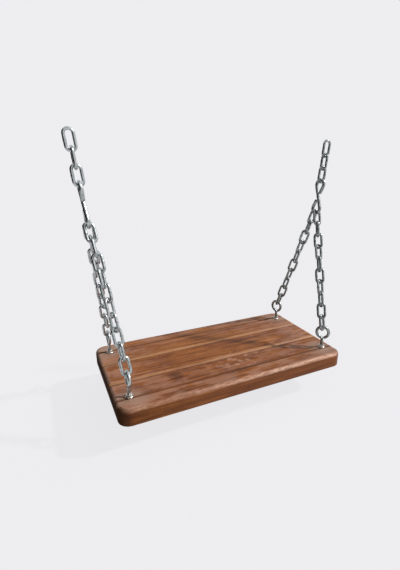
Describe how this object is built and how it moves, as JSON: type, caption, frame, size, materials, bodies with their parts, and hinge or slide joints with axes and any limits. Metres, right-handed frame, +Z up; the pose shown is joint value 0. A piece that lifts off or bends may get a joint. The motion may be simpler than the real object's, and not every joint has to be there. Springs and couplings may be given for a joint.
{
  "type": "wooden swing seat with chains",
  "caption": "Stained wooden board swing seat hung at its corners from twisted zinc chain legs that meet in S-hooks below a short top chain.",
  "frame": {"origin": "centre of the seat's top face", "axes": "+X along the seat to its right end, +Y to its back edge, +Z up the chains"},
  "size_m": [0.4966, 0.24, 0.4475],
  "materials": {
    "boards": "red-brown stain under semi-gloss varnish",
    "bolts": "zinc plated",
    "chain": "zinc plated"
  },
  "bodies": {
    "hangers": {"hanger_link_left": "chain", "hanger_link_right": "chain"},
    "top_links_left": {"swing_link_left": "chain", "hook_link_left": "chain"},
    "top_links_right": {"swing_link_right": "chain", "hook_link_right": "chain"},
    "s_hook_left": {"s_hook_left": "chain"},
    "s_hook_right": {"s_hook_right": "chain"},
    "legs_left": {"front_left_link_01": "chain", "front_left_link_02": "chain", "front_left_link_03": "chain", "front_left_link_04": "chain", "front_left_link_05": "chain", "front_left_link_06": "chain", "front_left_link_07": "chain", "front_left_link_08": "chain", "front_left_link_09": "chain", "front_left_link_10": "chain", "back_left_link_01": "chain", "back_left_link_02": "chain", "back_left_link_03": "chain", "back_left_link_04": "chain", "back_left_link_05": "chain", "back_left_link_06": "chain", "back_left_link_07": "chain", "back_left_link_08": "chain", "back_left_link_09": "chain", "back_left_link_10": "chain"},
    "legs_right": {"front_right_link_01": "chain", "front_right_link_02": "chain", "front_right_link_03": "chain", "front_right_link_04": "chain", "front_right_link_05": "chain", "front_right_link_06": "chain", "front_right_link_07": "chain", "front_right_link_08": "chain", "front_right_link_09": "chain", "front_right_link_10": "chain", "back_right_link_01": "chain", "back_right_link_02": "chain", "back_right_link_03": "chain", "back_right_link_04": "chain", "back_right_link_05": "chain", "back_right_link_06": "chain", "back_right_link_07": "chain", "back_right_link_08": "chain", "back_right_link_09": "chain", "back_right_link_10": "chain"},
    "seat": {"board_middle": "boards", "board_front": "boards", "board_back": "boards", "eye_bolt_front_left": "bolts", "eye_bolt_front_right": "bolts", "eye_bolt_back_left": "bolts", "eye_bolt_back_right": "bolts", "nut_front_left": "bolts", "nut_front_right": "bolts", "nut_back_left": "bolts", "nut_back_right": "bolts"}
  },
  "joints": [
    {"name": "swing_left", "type": "hinge", "parent": "hangers", "child": "top_links_left", "pos_m": [-0.23649, 0, 0.37542], "axis": [1, 0, 0], "range_deg": [-35, 35]},
    {"name": "swing_right", "type": "hinge", "parent": "hangers", "child": "top_links_right", "pos_m": [0.23649, 0, 0.37542], "axis": [1, 0, 0], "range_deg": [-35, 35]},
    {"name": "hook_left", "type": "hinge", "parent": "top_links_left", "child": "s_hook_left", "pos_m": [-0.23133, 0, 0.32629], "axis": [1, 0, 0], "range_deg": [-30, 30]},
    {"name": "hook_right", "type": "hinge", "parent": "top_links_right", "child": "s_hook_right", "pos_m": [0.23133, 0, 0.32629], "axis": [1, 0, 0], "range_deg": [-30, 30]},
    {"name": "sway_left", "type": "hinge", "parent": "s_hook_left", "child": "legs_left", "pos_m": [-0.225, 0, 0.26608], "axis": [0, 1, 0], "range_deg": [-8, 8]},
    {"name": "sway_right", "type": "hinge", "parent": "s_hook_right", "child": "legs_right", "pos_m": [0.225, 0, 0.26608], "axis": [0, 1, 0], "range_deg": [-8, 8]},
    {"name": "seat_roll", "type": "hinge", "parent": "legs_left", "child": "seat", "pos_m": [-0.2005, 0, 0.04437], "axis": [0, 1, 0], "range_deg": [-9, 9]}
  ],
  "couplings": [
    {"joint": "swing_right", "follows": "swing_left", "ratio": 1},
    {"joint": "hook_right", "follows": "hook_left", "ratio": 1},
    {"joint": "sway_right", "follows": "sway_left", "ratio": 1},
    {"joint": "seat_roll", "follows": "sway_left", "ratio": -1.1222}
  ]
}
